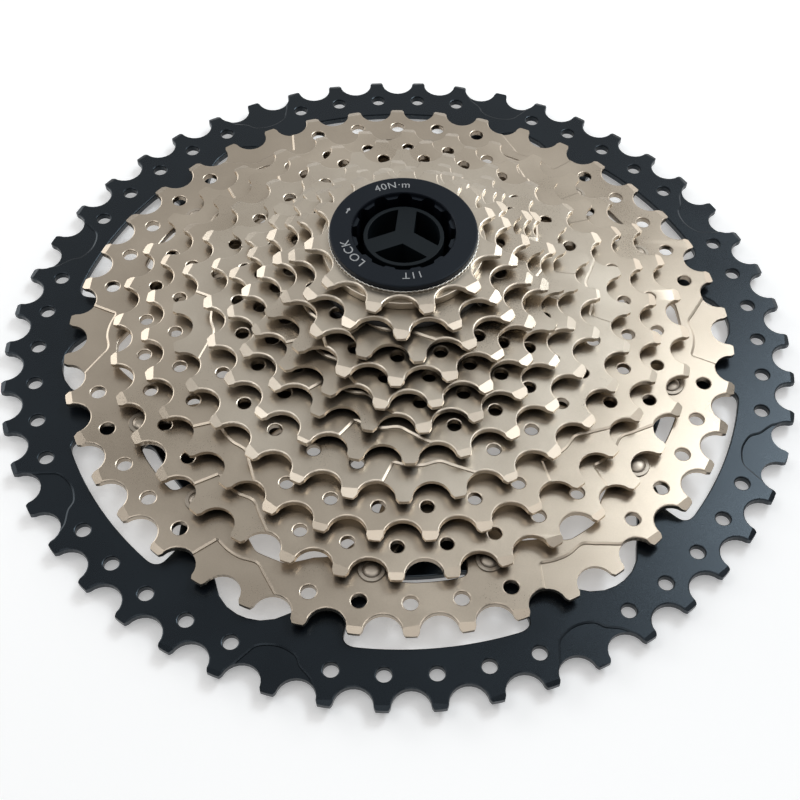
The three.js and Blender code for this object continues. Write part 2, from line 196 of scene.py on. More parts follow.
def grained_surface(name, dark, light, metallic, roughness, grain_scale, grain_height, ior=1.5):
    """A finish with cloudy colour at the scale of the part, fine grain and uneven gloss. Bare
    metal is darkened in its recesses, as painted shade."""
    material, tree, shader = new_material(name)
    clouds = noise(tree, CLOUD_SCALE, 4)
    grain = noise(tree, grain_scale, 3, 0.6)
    base = ramp(tree, clouds, dark, light)
    speckle = ramp(tree, grain, (0.94, 0.94, 0.94, 1), (1, 1, 1, 1), 0.35, 0.6)
    colour = mix_colours(tree, 0.8, base, speckle, "MULTIPLY")
    if metallic:
        # Painted shade: bare metal is darkened where it is closely covered.
        colour = mix_colours(tree, 1.0, colour, recess_painted_shade(tree), "MULTIPLY")
    tree.links.new(colour, shader.inputs["Base Color"])
    gloss = mix_colours(tree, 0.4, clouds, grain)
    tree.links.new(value_range(tree, gloss, *roughness), shader.inputs["Roughness"])
    shader.inputs["Metallic"].default_value = metallic
    shader.inputs["IOR"].default_value = ior
    add_bump(tree, shader, grain, grain_height, 0.5)
    return material


def printed_surface():
    material, tree, shader = new_material("light_print")
    patchy = noise(tree, 4000, 2)
    tree.links.new(ramp(tree, patchy, (0.30, 0.31, 0.32, 1), (0.52, 0.53, 0.54, 1)),
                   shader.inputs["Base Color"])
    shader.inputs["Roughness"].default_value = 0.6
    return material


MATERIALS = {
    "plated_steel": grained_surface("plated_steel", (0.57, 0.49, 0.395, 1), (0.69, 0.60, 0.49, 1),
                                    1.0, (0.25, 0.36), 3200, 0.000008),
    # Painted shade: plated_steel made darker, for the 42T.
    "shaded_plated_steel": grained_surface("shaded_plated_steel", (0.51, 0.435, 0.35, 1),
                                         (0.62, 0.535, 0.435, 1), 1.0, (0.25, 0.36), 3200, 0.000008),
    # Painted light: plated_steel made paler, for the 28T and smaller.
    "lit_plated_steel": grained_surface("lit_plated_steel", (0.64, 0.56, 0.46, 1),
                                         (0.77, 0.69, 0.58, 1), 1.0, (0.25, 0.36), 3200, 0.000008),
    "black_alloy": grained_surface("black_alloy", (0.002, 0.003, 0.005, 1),
                                   (0.004, 0.006, 0.009, 1), 0.0, (0.24, 0.32), 5000, 0.00001, 1.49),
    "rivet_steel": grained_surface("rivet_steel", (0.44, 0.385, 0.32, 1), (0.58, 0.51, 0.43, 1),
                                   1.0, (0.32, 0.5), 2600, 0.00003),
    "washer_steel": grained_surface("washer_steel", (0.62, 0.60, 0.55, 1),
                                    (0.78, 0.76, 0.72, 1), 1.0, (0.2, 0.32), 4000, 0.00001),
    "spacer_plastic": grained_surface("spacer_plastic", (0.010, 0.011, 0.012, 1),
                                      (0.018, 0.019, 0.021, 1), 0.0, (0.5, 0.65), 3000, 0.00002),
    "core_plastic": grained_surface("core_plastic", (0.007, 0.011, 0.014, 1),
                                    (0.010, 0.015, 0.019, 1), 0.0, (0.42, 0.55), 3500, 0.00002, 1.25),
    "lockring_alloy": grained_surface("lockring_alloy", (0.0035, 0.0045, 0.008, 1),
                                      (0.006, 0.0075, 0.012, 1), 0.0, (0.4, 0.5), 4200, 0.00002, 1.35),
}
BLUE_GLOSS = (0.72, 0.87, 1.0, 1)
for finish in ("black_alloy", "lockring_alloy"):
    black_shader = MATERIALS[finish].node_tree.nodes["Principled BSDF"]
    black_shader.inputs["Specular Tint"].default_value = BLUE_GLOSS
PRINT = printed_surface()


# ---------------------------------------------------------------- outlines, in millimetres

def polar(radius, degrees):
    angle = math.radians(degrees)
    return Vector((radius * math.cos(angle), radius * math.sin(angle)))


def circle(radius, sides, centre=Vector((0, 0))):
    return [centre + polar(radius, 360 * i / sides) for i in range(sides)]


def rounded(corners, radius, steps=6, sharp=20):
    """Rounds the sharp corners of an outline with short bends."""
    points = []
    for i, corner in enumerate(corners):
        before = corners[i - 1] - corner
        after = corners[(i + 1) % len(corners)] - corner
        turn = math.pi - before.angle(after)
        if turn < math.radians(sharp):
            points.append(corner.copy())
            continue
        reach = min(radius * math.tan(turn / 2), before.length * 0.45, after.length * 0.45)
        start = corner + before.normalized() * reach
        end = corner + after.normalized() * reach
        for k in range(steps + 1):
            t = k / steps
            points.append(start * (1 - t) ** 2 + corner * 2 * t * (1 - t) + end * t ** 2)
    return points


def smooth_path(points, steps=8):
    """A smooth curve through points, as a list of points."""
    path = []
    ends = [points[0]] + list(points) + [points[-1]]
    for i in range(1, len(ends) - 2):
        before, start, end, after = ends[i - 1:i + 3]
        for k in range(steps):
            t = k / steps
            path.append(0.5 * ((2 * start) + (end - before) * t
                               + (2 * before - 5 * start + 4 * end - after) * t ** 2
                               + (3 * start - before - 3 * end + after) * t ** 3))
    path.append(points[-1])
    return path


def pitch_radius(teeth):
    return CHAIN_PITCH / 2 / math.sin(math.pi / teeth)


def root_radius(teeth):
    return pitch_radius(teeth) + SEAT_OFFSET - SEAT_RADIUS


def toothed_outline(spec):
    """Round roller seats with a tapered tooth between each two, wider on the larger sprockets."""
    teeth = spec["teeth"]
    middle_radius = pitch_radius(teeth)
    tip_radius = middle_radius + TIP_HEIGHT
    tip_width = TIP_WIDTH + TIP_WIDTH_PER_TOOTH * teeth
    spread = 90 - 180 / teeth
    points = []
    for i in range(teeth):
        gap = spec["turn"] + 360 * i / teeth
        tooth = gap + 180 / teeth
        seat = polar(middle_radius + SEAT_OFFSET, gap)
        for k in range(SEAT_STEPS + 1):
            lean = spread * (1 - 2 * k / SEAT_STEPS)
            points.append(seat + polar(SEAT_RADIUS, gap + 180 + lean))
        for side, height in TIP_SHAPE:
            radius = tip_radius + height
            shift = math.degrees(side * tip_width / 2 / radius)
            points.append(polar(radius, tooth + shift))
    return points


def splined_outline(base, spline, extra):
    """A circle with splines at another radius. Each is widened by extra degrees a side."""
    points = []
    for i in range(SPLINE_COUNT):
        middle = 360 * i / SPLINE_COUNT
        half = (INDEX_SPLINE_HALF_ANGLE if i == 0 else SPLINE_HALF_ANGLE) + extra
        following = 360 / SPLINE_COUNT - SPLINE_HALF_ANGLE - extra
        for k in range(5):
            points.append(polar(spline, middle - half + 2 * half * k / 4))
        for k in range(5):
            points.append(polar(base, middle + half + (following - half) * k / 4))
    return rounded(points, 0.25, 2, 40)


def widened(outline, distance):
    """An anticlockwise or clockwise outline moved outward along its corners' normals."""
    area = sum(p.cross(outline[(i + 1) % len(outline)]) for i, p in enumerate(outline))
    side = 1 if area > 0 else -1
    found = []
    for i, point in enumerate(outline):
        along = (outline[(i + 1) % len(outline)] - outline[i - 1]).normalized()
        found.append(point + Vector((along.y, -along.x)) * distance * side)
    return found


def subdivided(points, longest):
    """Splits the long edges of an outline."""
    found = []
    for i, point in enumerate(points):
        following = points[(i + 1) % len(points)]
        pieces = max(1, math.ceil((following - point).length / longest))
        found += [point.lerp(following, k / pieces) for k in range(pieces)]
    return found


def window(half, middle, corner_radius):
    """A window from half its outline as [radius, degrees from its middle] pairs. It is rounded
    on a flattened ring, so edges at one radius become arcs."""
    reference = 70
    longest_edge = 2.5
    right = [Vector((r, -math.radians(a) * reference)) for r, a in half]
    left = [Vector((p.x, -p.y)) for p in reversed(right)]
    flat = subdivided(rounded(right + left, corner_radius, 8), longest_edge)
    return [polar(p.x, middle + math.degrees(p.y / reference)) for p in flat]


def straight_arm_window(outer):
    """Half of a window between two straight arms."""
    outer_edge, inner_edge = (180 / ARM_COUNT - math.degrees(ARM_HALF_WIDTH / radius)
                              for radius in (outer, HUB_CORNER))
    return [(outer, outer_edge), (HUB_CORNER, inner_edge), (HUB_RADIUS, 6)]


# The windows of the four largest sprockets as halves: in each Y-shaped arm, and between arms.
WINDOWS = {
    50: {"fork": [(87.6, 14.4), (81, 14.2), (69.3, 7.2)], "fork_corner": 3.5,
         "between": [(87, 0.8), (86.4, 2.8), (84.9, 4.8), (82.2, 6.8), (77, 11.5), (70, 15.2),
                     (58, 18.5), (44, 20.5), (32, 17), (HUB_RADIUS, 6)]},
    42: {"fork": [(72.8, 3), (72.5, 6.3), (66, 7.4), (60, 5)], "fork_corner": 2,
         "between": [(72.8, 3), (69.2, 7.5), (67.5, 11.5), (58, 18), (44, 20.5), (32, 17),
                     (HUB_RADIUS, 6)]},
    36: {"between": straight_arm_window(59)},
    32: {"between": straight_arm_window(51)},
}


def windows(teeth):
    shapes = WINDOWS.get(teeth)
    if not shapes:
        return []
    found = []
    for i in range(ARM_COUNT):
        arm = FIRST_ARM_ANGLE + 360 * i / ARM_COUNT
        if "fork" in shapes:
            found.append(window(shapes["fork"], arm, shapes["fork_corner"]))
        found.append(window(shapes["between"], arm + 180 / ARM_COUNT, WINDOW_CORNER))
    return found


def arm_rivet_centres():
    return [polar(ARM_RIVET_CIRCLE, FIRST_ARM_ANGLE + 360 * i / ARM_COUNT + side * ARM_RIVET_OFFSET)
            for i in range(ARM_COUNT) for side in (-1, 1)]


def long_rivet_centres():
    return [polar(LONG_RIVET_CIRCLE, FIRST_ARM_ANGLE + 360 * i / LONG_RIVET_COUNT)
            for i in range(LONG_RIVET_COUNT)]


def ramp_places(spec):
    """The tooth gap, or on the largest sprocket the tooth, that each ramp is centred on."""
    return [spec["ramp"] + k * spec["teeth"] // spec["ramps"] for k in range(spec["ramps"])]


def holes(spec, index):
    """A sprocket's lightening holes, one under each tooth that no ramp uses, and rivet holes."""
    teeth = spec["teeth"]
    solid = ramp_teeth(spec)
    radius = LARGE_HOLE_RADIUS if teeth >= LARGE_HOLE_TEETH else HOLE_RADIUS
    found = []
    if spec["holes"]:
        for i in range(teeth):
            if i not in solid:
                tooth = spec["turn"] + 360 * (i + 0.5) / teeth
                found.append(circle(radius, 30, polar(spec["holes"], tooth)))
    rivets = long_rivet_centres() if index < RIVETED_SPROCKETS else []
    rivets += arm_rivet_centres() if index < ARM_RIVETED_SPROCKETS else []
    found += [circle(SHANK_RADIUS + RUNNING_GAP, 30, centre) for centre in rivets]
    return found


# ---------------------------------------------------------------- meshes, in millimetres

def mesh_object(name, mesh):
    obj = bpy.data.objects.new(name, mesh)
    bpy.context.scene.collection.objects.link(obj)
    return obj


def evaluated_mesh(obj):
    bpy.context.view_layer.update()
    graph = bpy.context.evaluated_depsgraph_get()
    return bpy.data.meshes.new_from_object(obj.evaluated_get(graph))


def discard(obj):
    bpy.data.objects.remove(obj, do_unlink=True)


def plate_mesh(loops, bottom, top, bevel=PLATE_BEVEL):
    """A flat plate with rounded edges. The first loop is its outline and the others are holes."""
    curve = bpy.data.curves.new("plate", "CURVE")
    curve.dimensions = "2D"
    curve.fill_mode = "BOTH"
    curve.extrude = (top - bottom) / 2 - bevel
    curve.bevel_depth = bevel
    curve.bevel_resolution = 1
    curve.offset = -bevel
    for loop in loops:
        spline = curve.splines.new("POLY")
        spline.points.add(len(loop) - 1)
        for point, corner in zip(spline.points, loop):
            point.co = (corner.x, corner.y, 0, 1)
        spline.use_cyclic_u = True
    obj = mesh_object("plate", curve)
    mesh = evaluated_mesh(obj)
    discard(obj)
    mesh.transform(Matrix.Translation((0, 0, (top + bottom) / 2)))
    return cleaned(mesh)


def cleaned(mesh):
    """Joins corners that lie on each other and turns every face outward."""
    body = bmesh.new()
    body.from_mesh(mesh)
    bmesh.ops.remove_doubles(body, verts=body.verts, dist=SAME_POINT)
    bmesh.ops.recalc_face_normals(body, faces=body.faces)
    body.to_mesh(mesh)
    body.free()
    return mesh


def loft(body, sections):
    """Adds a solid through outlines at rising heights to a bmesh."""
    rings = [[body.verts.new((p.x, p.y, height)) for p in outline] for outline, height in sections]
    body.faces.new(rings[0][::-1])
    body.faces.new(rings[-1])
    for low, high in zip(rings, rings[1:]):
        for i in range(len(low)):
            j = (i + 1) % len(low)
            body.faces.new((low[i], low[j], high[j], high[i]))


def prism(body, outline, bottom, top):
    """Adds a plain prism to a bmesh. bottom and top give the height at a point."""
    low = [body.verts.new((p.x, p.y, bottom(p))) for p in outline]
    high = [body.verts.new((p.x, p.y, top(p))) for p in outline]
    body.faces.new(low[::-1])
    body.faces.new(high)
    count = len(outline)
    for i in range(count):
        j = (i + 1) % count
        body.faces.new((low[i], low[j], high[j], high[i]))


def finished_bmesh(body, name):
    bmesh.ops.recalc_face_normals(body, faces=body.faces)
    mesh = bpy.data.meshes.new(name)
    body.to_mesh(mesh)
    body.free()
    return mesh


def combined(mesh, tool, operation):
    """The boolean difference or union of two closed meshes."""
    target = mesh_object("target", mesh)
    other = mesh_object("tool", tool)
    modifier = target.modifiers.new("cut", "BOOLEAN")
    modifier.operation = operation
    modifier.solver = "EXACT"
    modifier.object = other
    result = evaluated_mesh(target)
    discard(target)
    discard(other)
    return cleaned(result)


def turned_mesh(profile, sides=72):
    """A turned piece from [radius, height] pairs; a radius of zero is the axis."""
    body = bmesh.new()
    rings = []
    for radius, height in profile:
        if radius == 0:
            rings.append([body.verts.new((0, 0, height))])
            continue
        rings.append([body.verts.new((*polar(radius, 360 * i / sides), height))
                      for i in range(sides)])
    pairs = list(zip(rings, rings[1:]))
    if profile[0][0] != 0:
        pairs.append((rings[-1], rings[0]))
    for low, high in pairs:
        for i in range(sides):
            j = (i + 1) % sides
            corners = [low[i % len(low)], low[j % len(low)], high[j % len(high)],
                       high[i % len(high)]]
            unique = list(dict.fromkeys(corners))
            if len(unique) > 2:
                body.faces.new(unique)
    return finished_bmesh(body, "turned")


def make_piece(name, mesh, slot, body, *nodes):
    """Scales a mesh to metres, gives it its finish and says what it rides on and stands for."""
    mesh.transform(Matrix.Scale(MM, 4))
    mesh.name = name
    for face in mesh.polygons:
        face.use_smooth = abs(face.normal.z) < FLAT_FACE
    mesh.set_sharp_from_angle(angle=math.radians(SHARP_ANGLE))
    mesh.materials.clear()
    mesh.materials.append(PRINT if slot == "print" else MATERIALS[slot])
    obj = mesh_object(name, mesh)
    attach(obj, body)
    if nodes:
        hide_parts(*nodes)
    return obj


def heights(node):
    low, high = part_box(node)
    return low[2] / MM, high[2] / MM


# ---------------------------------------------------------------- sprockets

# A shift ramp's edge, as tooth pitches round from the middle of a tooth gap and millimetres in
# from the root circle. It runs up steeply, along, and down in an S.
STEEL_RAMP = [(-0.92, -1.2), (-0.72, 5.8), (-0.4, 4.9), (-0.08, 4.7), (0.27, 5.3), (0.52, 3.4),
              (0.88, 0), (1.02, -1.2)]
# The same on the largest sprocket, from the middle of a tooth: a U round the tooth's root.
LARGEST_RAMP = [(-0.72, -1.0), (-0.62, 1.9), (-0.48, 4.6), (-0.12, 5.9), (0.24, 4.9), (0.40, 2.6),
                (0.64, 0.4), (0.74, -1.4)]


def ramp_outline(spec, place):
    """A ramp's edge, closed beyond the tips. Ramps are shallower on the small sprockets."""
    teeth = spec["teeth"]
    pitch = 360 / teeth
    largest = teeth == LARGEST_TEETH
    middle = spec["turn"] + (place + (0.5 if largest else 0)) * pitch
    root = root_radius(teeth)
    shape = LARGEST_RAMP if largest else STEEL_RAMP
    depth = min(1.0, 0.62 + teeth / 110)
    corners = [polar(root - drop * depth, middle + turn * pitch) for turn, drop in shape]
    if largest:
        edge = smooth_path(corners)
    else:
        edge = corners[:1] + smooth_path(corners[1:])
    outside = root + 9
    first, last = shape[0][0], shape[-1][0]
    steps = 8
    back = [polar(outside, middle + (last + (first - last) * k / steps) * pitch)
            for k in range(steps + 1)]
    return edge + back


def cut_ramps(mesh, spec, top):
    """Sinks the shift ramps, with a steep wall that has a chamfered top edge."""
    if not spec["ramps"]:
        return mesh
    sunk = LARGEST_RAMP_DEPTH if spec["teeth"] == LARGEST_TEETH else RAMP_DEPTH
    chamfer = 0.45 * sunk
    mouth = 0.1 + chamfer * 2.4
    levels = ((sunk, 0), (chamfer, 0.1), (0, mouth), (-0.05, mouth + 0.1), (-2, mouth + 0.1))
    body = bmesh.new()
    for place in ramp_places(spec):
        outline = ramp_outline(spec, place)
        loft(body, [(widened(outline, reach), top - depth) for depth, reach in levels])
    return combined(mesh, finished_bmesh(body, "ramps"), "DIFFERENCE")


def ramp_teeth(spec):
    """The teeth that a shift ramp runs through."""
    first, last = spec["solid"]
    return {(place + j) % spec["teeth"] for place in ramp_places(spec)
            for j in range(first, last + 1)}


# Tip bevels: how long one is, how deep it goes and by how many degrees its line is turned.
LARGEST_TIPS = [(1.1, 0.42, 0), (1.1, 0.42, 8), (1.1, 0.42, -8)]
STEEL_TIPS = [(1.9, 0.75, 7), (2.0, 0.8, 12), (1.6, 0.6, 0), (2.1, 0.85, -8)]
RAMP_TIP = (0.9, 0.25, 0)


def tip_cut(spec, i):
    """The tip bevel of tooth i."""
    if spec["teeth"] == LARGEST_TEETH:
        return LARGEST_TIPS[i % len(LARGEST_TIPS)]
    if i in ramp_teeth(spec):
        return RAMP_TIP
    return STEEL_TIPS[i % len(STEEL_TIPS)]


def cut_tips(mesh, spec, top):
    """Bevels the lockring side of each tooth's tip."""
    teeth = spec["teeth"]
    tip = pitch_radius(teeth) + TIP_HEIGHT
    beyond = 1.2
    half = 3.4
    body = bmesh.new()
    for i in range(teeth):
        length, depth, skew = tip_cut(spec, i)
        tooth = spec["turn"] + 360 * (i + 0.5) / teeth
        out = polar(1, tooth)
        side = polar(1, tooth + 90)
        slope = depth / length
        lean = math.tan(math.radians(skew))
        low = tip - length

        def height(point, out=out, side=side, lean=lean, slope=slope, low=low):
            along = point.dot(out) - low - point.dot(side) * lean
            return top - slope * along

        corners = [out * (low - half * lean) - side * half, out * (tip + beyond) - side * half,
                   out * (tip + beyond) + side * half, out * (low + half * lean) + side * half]
        prism(body, corners, height, lambda p: top + 2)
    return combined(mesh, finished_bmesh(body, "tips"), "DIFFERENCE")


# Finishes from the largest sprocket down. The last is for all that are smaller still. The darker steel
# on the 42T is painted shade and the paler steel on the 28T and smaller is painted light.
SPROCKET_SLOTS = ("black_alloy", "shaded_plated_steel", "plated_steel", "plated_steel",
                  "lit_plated_steel")


def sprocket(spec, index):
    """A toothed plate. The smallest has a collar under it."""
    name = f"sprocket_{spec['teeth']}t"
    bottom, top = heights(name)
    collar_bottom = bottom
    if spec["teeth"] == SMALLEST_TEETH:
        bottom = top - STEEL_THICKNESS
    bore = splined_outline(BORE_RADIUS, BORE_RADIUS - SPLINE_DEPTH, 0)
    loops = [toothed_outline(spec)] + holes(spec, index) + windows(spec["teeth"]) + [bore]
    mesh = plate_mesh(loops, bottom, top)
    mesh = cut_ramps(mesh, spec, top)
    mesh = cut_tips(mesh, spec, top)
    if collar_bottom < bottom:
        collar = plate_mesh([circle(COLLAR_RADIUS, 96), bore], collar_bottom, bottom + 0.4, 0.12)
        mesh = combined(mesh, collar, "UNION")
    body = "riveted_cluster" if index < RIVETED_SPROCKETS else name
    slot = SPROCKET_SLOTS[min(index, len(SPROCKET_SLOTS) - 1)]
    make_piece(f"{name}_look", mesh, slot, body, name)


def all_sprockets():
    for index, spec in enumerate(SPROCKETS):
        sprocket(spec, index)


# ---------------------------------------------------------------- spacers and rivets

def all_spacers():
    outline = circle(SPACER_RADIUS, 96)
    bore = circle(BORE_RADIUS, 96)
    for before, after in zip(SPROCKETS[:10], SPROCKETS[1:11]):
        name = f"spacer_{before['teeth']}_{after['teeth']}"
        bottom, top = heights(name)
        mesh = plate_mesh([outline, bore], bottom, top, SPACER_BEVEL)
        body = name if name in LOOSE_SPACERS else "riveted_cluster"
        make_piece(f"{name}_look", mesh, "spacer_plastic", body, name)


def dome(radius, base, height, steps=9):
    """The rounded top of a rivet head, from its rim to the axis."""
    points = []
    for k in range(steps + 1):
        angle = math.radians(90 * k / steps)
        points.append((radius * math.cos(angle) if k < steps else 0,
                       base + height * math.sin(angle)))
    return points


def arm_rivets():
    """Each has a foot, a shoulder between the two plates and a domed head in a flat rim."""
    low_plate = heights("sprocket_50t")
    high_plate = heights("sprocket_42t")
    foot = low_plate[0] - FACE_GAP
    shoulder = (low_plate[1] + FACE_GAP, high_plate[0] - FACE_GAP)
    head = high_plate[1] + FACE_GAP
    rim = head + 0.3
    dome_base = head + 0.2
    radius = ARM_RIVET_RADIUS
    profile = [(0, foot - 1), (radius - 0.5, foot - 1), (radius - 0.1, foot - 0.6),
               (radius - 0.1, foot), (SHANK_RADIUS, foot), (SHANK_RADIUS, shoulder[0]),
               (radius + 0.1, shoulder[0]), (radius + 0.1, shoulder[1]),
               (SHANK_RADIUS, shoulder[1]), (SHANK_RADIUS, head), (radius, head),
               (radius, head + 0.2), (radius - 0.1, rim), (radius - 0.9, rim),
               (radius - 1, dome_base)]
    profile += dome(radius - 1.05, dome_base, 0.7)
    for i, centre in enumerate(arm_rivet_centres()):
        mesh = turned_mesh(profile, 40)
        mesh.transform(Matrix.Translation((centre.x, centre.y, 0)))
        name = f"arm_rivet_{i + 1:02d}"
        make_piece(f"{name}_look", mesh, "rivet_steel", "riveted_cluster", name)


def long_rivets():
    low, high = heights("long_rivet_1")
    head = 1.1
    radius = LONG_RIVET_RADIUS
    profile = [(0, low), (radius - 0.5, low), (radius, low + 0.4), (radius, low + head),
               (SHANK_RADIUS, low + head), (SHANK_RADIUS, high - head), (radius, high - head),
               (radius, high - 0.75)]
    profile += dome(radius - 0.1, high - 0.7, 0.7)
    for i, centre in enumerate(long_rivet_centres()):
        mesh = turned_mesh(profile, 40)
        mesh.transform(Matrix.Translation((centre.x, centre.y, 0)))
        name = f"long_rivet_{i + 1}"
        make_piece(f"{name}_look", mesh, "rivet_steel", "riveted_cluster", name)


# ---------------------------------------------------------------- lockring, washer and core

LOCKRING_RADIUS = 17.6
LOCKRING_FLANGE = 1.55
SOCKET_LAND = 11.3
SOCKET_NOTCH = 12.4
SOCKET_NOTCHES = 12
BARREL_RADIUS = 15.2
THREAD_DEPTH = 0.55
CORE_THREAD_RADIUS = 15.6
CORE_MOUTH_DEPTH = 8.5
CORE_HOLLOW_RADIUS = 14.2
WASHER_RADIUS = 17.9
WASHER_TEETH = 90
SPOKE_ANGLES = (85, 205, 325)
SPOKE_WIDTH = 4.4
SPOKE_DEPTH = 8


def socket_outline():
    """Twelve rounded notches round the tool socket."""
    points = []
    for i in range(SOCKET_NOTCHES):
        notch = 360 * i / SOCKET_NOTCHES
        for turn, radius in ((-9.5, SOCKET_LAND), (-7, SOCKET_NOTCH - 0.15), (-3, SOCKET_NOTCH),
                             (3, SOCKET_NOTCH), (7, SOCKET_NOTCH - 0.15), (9.5, SOCKET_LAND),
                             (15, SOCKET_LAND)):
            points.append(polar(radius, notch + turn))
    return rounded(points, 0.5, 3, 30)


def lockring():
    """A threaded barrel and a flange, with the notched socket cut down through both. Gives the
    height of its face."""
    low, high = heights("lockring")
    flange = high - LOCKRING_FLANGE
    edge = 0.35
    profile = [(0, low), (BARREL_RADIUS - 0.6, low), (BARREL_RADIUS - 0.1, low + 0.5)]
    height = low + 0.7
    while height < flange - 1.1:
        profile += [(BARREL_RADIUS, height), (BARREL_RADIUS - THREAD_DEPTH, height + 0.45)]
        height += THREAD_PITCH
    profile += [(BARREL_RADIUS - 0.4, flange), (LOCKRING_RADIUS - 0.1, flange),
                (LOCKRING_RADIUS, flange + 0.1), (LOCKRING_RADIUS, high - edge),
                (LOCKRING_RADIUS - 0.1, high - edge * 0.3),
                (LOCKRING_RADIUS - edge, high), (0, high)]
    body = bmesh.new()
    prism(body, socket_outline(), lambda p: low - 1, lambda p: high + 1)
    mesh = combined(turned_mesh(profile, 120), finished_bmesh(body, "socket"), "DIFFERENCE")
    sink = turned_mesh([(0, high - 0.9), (SOCKET_NOTCH - 0.3, high - 0.9),
                        (SOCKET_NOTCH, high - 0.2), (SOCKET_NOTCH + 0.4, high + 0.2),
                        (0, high + 0.2)], 120)
    mesh = combined(mesh, sink, "DIFFERENCE")
    make_piece("lockring_look", mesh, "lockring_alloy", "lockring", "lockring")
    return high


def washer():
    """A thin washer with a finely serrated rim."""
    low, high = heights("lock_washer")
    groove = WASHER_RADIUS - 0.12
    rim = ((0, WASHER_RADIUS), (0.4, WASHER_RADIUS), (0.55, groove), (0.85, groove))
    outline = [polar(radius, 360 * (i + share) / WASHER_TEETH)
               for i in range(WASHER_TEETH) for share, radius in rim]
    mesh = plate_mesh([outline, circle(BARREL_RADIUS + 0.5, 96)], low, high, 0.08)
    make_piece("lock_washer_look", mesh, "washer_steel", "lock_washer", "lock_washer")


def core_flange(low, top):
    edge = 0.3
    inner = CORE_FLANGE_RADIUS - edge
    return turned_mesh([(0, low), (inner, low), (CORE_FLANGE_RADIUS, low + edge),
                        (CORE_FLANGE_RADIUS, top - edge), (inner, top), (0, top)], 120)


def core_hollow(bottom, top):
    """The space inside the sleeve, with the thread for the lockring at its mouth."""
    mouth = top - CORE_MOUTH_DEPTH
    radius = CORE_THREAD_RADIUS
    profile = [(0, bottom), (CORE_HOLLOW_RADIUS, bottom), (CORE_HOLLOW_RADIUS, mouth - 1),
               (radius, mouth)]
    height = mouth + 0.6
    while height < top - 1.2:
        profile += [(radius, height), (radius + 0.35, height + 0.5)]
        height += THREAD_PITCH
    profile += [(radius, top - 0.4), (radius + 0.2, top + 1), (0, top + 1)]
    return turned_mesh(profile, 120)


def core():
    """A splined sleeve on a flange, with a tube in its middle."""
    low, high = heights("carrier_core")
    sleeve_top = heights("sprocket_11t")[1] - 0.4
    flange = CORE_FLANGE_THICKNESS
    root = flange - 0.6
    sleeve_radius = BORE_RADIUS - RUNNING_GAP
    groove = sleeve_radius - SPLINE_DEPTH
    extra = math.degrees(RUNNING_GAP / groove)
    mesh = plate_mesh([splined_outline(sleeve_radius, groove, extra)], root, sleeve_top, 0.2)
    mesh = combined(mesh, core_flange(low, flange), "UNION")
    mesh = combined(mesh, core_hollow(flange, sleeve_top), "DIFFERENCE")
    mesh = combined(mesh, core_tube(root, high), "UNION")
    bore = turned_mesh([(0, low - 1), (CORE_TUBE_BORE, low - 1), (CORE_TUBE_BORE, flange),
                        (0, flange)], 96)
    mesh = combined(mesh, bore, "DIFFERENCE")
    make_piece("carrier_core_look", mesh, "core_plastic", "core", "carrier_core")


def core_tube(bottom, top):
    """The tube in the middle of the core, with three spokes across its end."""
    tube = plate_mesh([circle(CORE_TUBE_RADIUS, 96), circle(CORE_TUBE_BORE, 96)], bottom, top, 0.15)
    middle_radius = (CORE_TUBE_RADIUS + CORE_TUBE_BORE) / 2
    for angle in SPOKE_ANGLES:
        end = polar(middle_radius, angle)
        side = polar(SPOKE_WIDTH / 2, angle + 90)
        corners = [side * -1, end - side, end + side, side]
        body = bmesh.new()
        prism(body, corners, lambda p: top - SPOKE_DEPTH, lambda p: top)
        tube = combined(tube, finished_bmesh(body, "spoke"), "UNION")
    return tube


# ---------------------------------------------------------------- print on the lockring

PRINT_THICKNESS = 0.03
PRINT_CLEARANCE = 0.005


def curved_words(name, words, middle, radius, size, face):
    """Words round the flange with their tops outward, as a thin layer of print."""
    curve = bpy.data.curves.new(name, "FONT")
    curve.body = words
    curve.size = size
    curve.align_x = "CENTER"
    curve.align_y = "CENTER"
    curve.extrude = PRINT_THICKNESS / 2
    curve.space_character = 1.12
    obj = mesh_object(name, curve)
    mesh = evaluated_mesh(obj)
    discard(obj)
    print_middle = face + PRINT_CLEARANCE + PRINT_THICKNESS / 2
    for vertex in mesh.vertices:
        distance = radius + vertex.co.y
        angle = middle - math.degrees(vertex.co.x / radius)
        vertex.co = (*polar(distance, angle), print_middle + vertex.co.z)
    make_piece(name, cleaned(mesh), "print", "lockring")


def turn_arrow(face):
    """A small arrow that points the way to tighten."""
    radius = 14.7
    middle = 156
    arrow = [(-1.0, -0.16), (0.15, -0.16), (0.15, -0.5), (0.95, 0), (0.15, 0.5), (0.15, 0.16),
             (-1.0, 0.16)]
    corners = [polar(radius + y, middle - math.degrees(x / radius)) for x, y in arrow]
    bottom = face + PRINT_CLEARANCE
    body = bmesh.new()
    prism(body, corners, lambda p: bottom, lambda p: bottom + PRINT_THICKNESS)
    make_piece("print_arrow", finished_bmesh(body, "print_arrow"), "print", "lockring")


def all_print(face):
    """The words with their angles, radii and sizes, and the arrow."""
    curved_words("print_torque", "40N·m", 102, 14.95, 2.9, face)
    curved_words("print_lock", "LOCK", 213, 14.3, 3.1, face)
    curved_words("print_teeth", "11T", 279.5, 14.3, 2.8, face)
    turn_arrow(face)


# ---------------------------------------------------------------- stage

def white_floor():
    """A plain pale floor that glows a little, so that it stays white in the soft light."""
    body = bmesh.new()
    half = 2.5
    corners = [body.verts.new((x, y, 0)) for x, y in
               ((-half, -half), (half, -half), (half, half), (-half, half))]
    body.faces.new(corners)
    floor = mesh_object("floor", finished_bmesh(body, "floor"))
    material, _, shader = new_material("pale_floor")
    shader.inputs["Base Color"].default_value = (0.95, 0.95, 0.95, 1)
    shader.inputs["Roughness"].default_value = 0.9
    shader.inputs["Emission Color"].default_value = (1, 1, 1, 1)
    shader.inputs["Emission Strength"].default_value = 0.3
    floor.data.materials.append(material)


WHITE = (1, 1, 1)
COOL_WHITE = (0.88, 0.95, 1.0)
MIDDLE = (0, 0, 0)
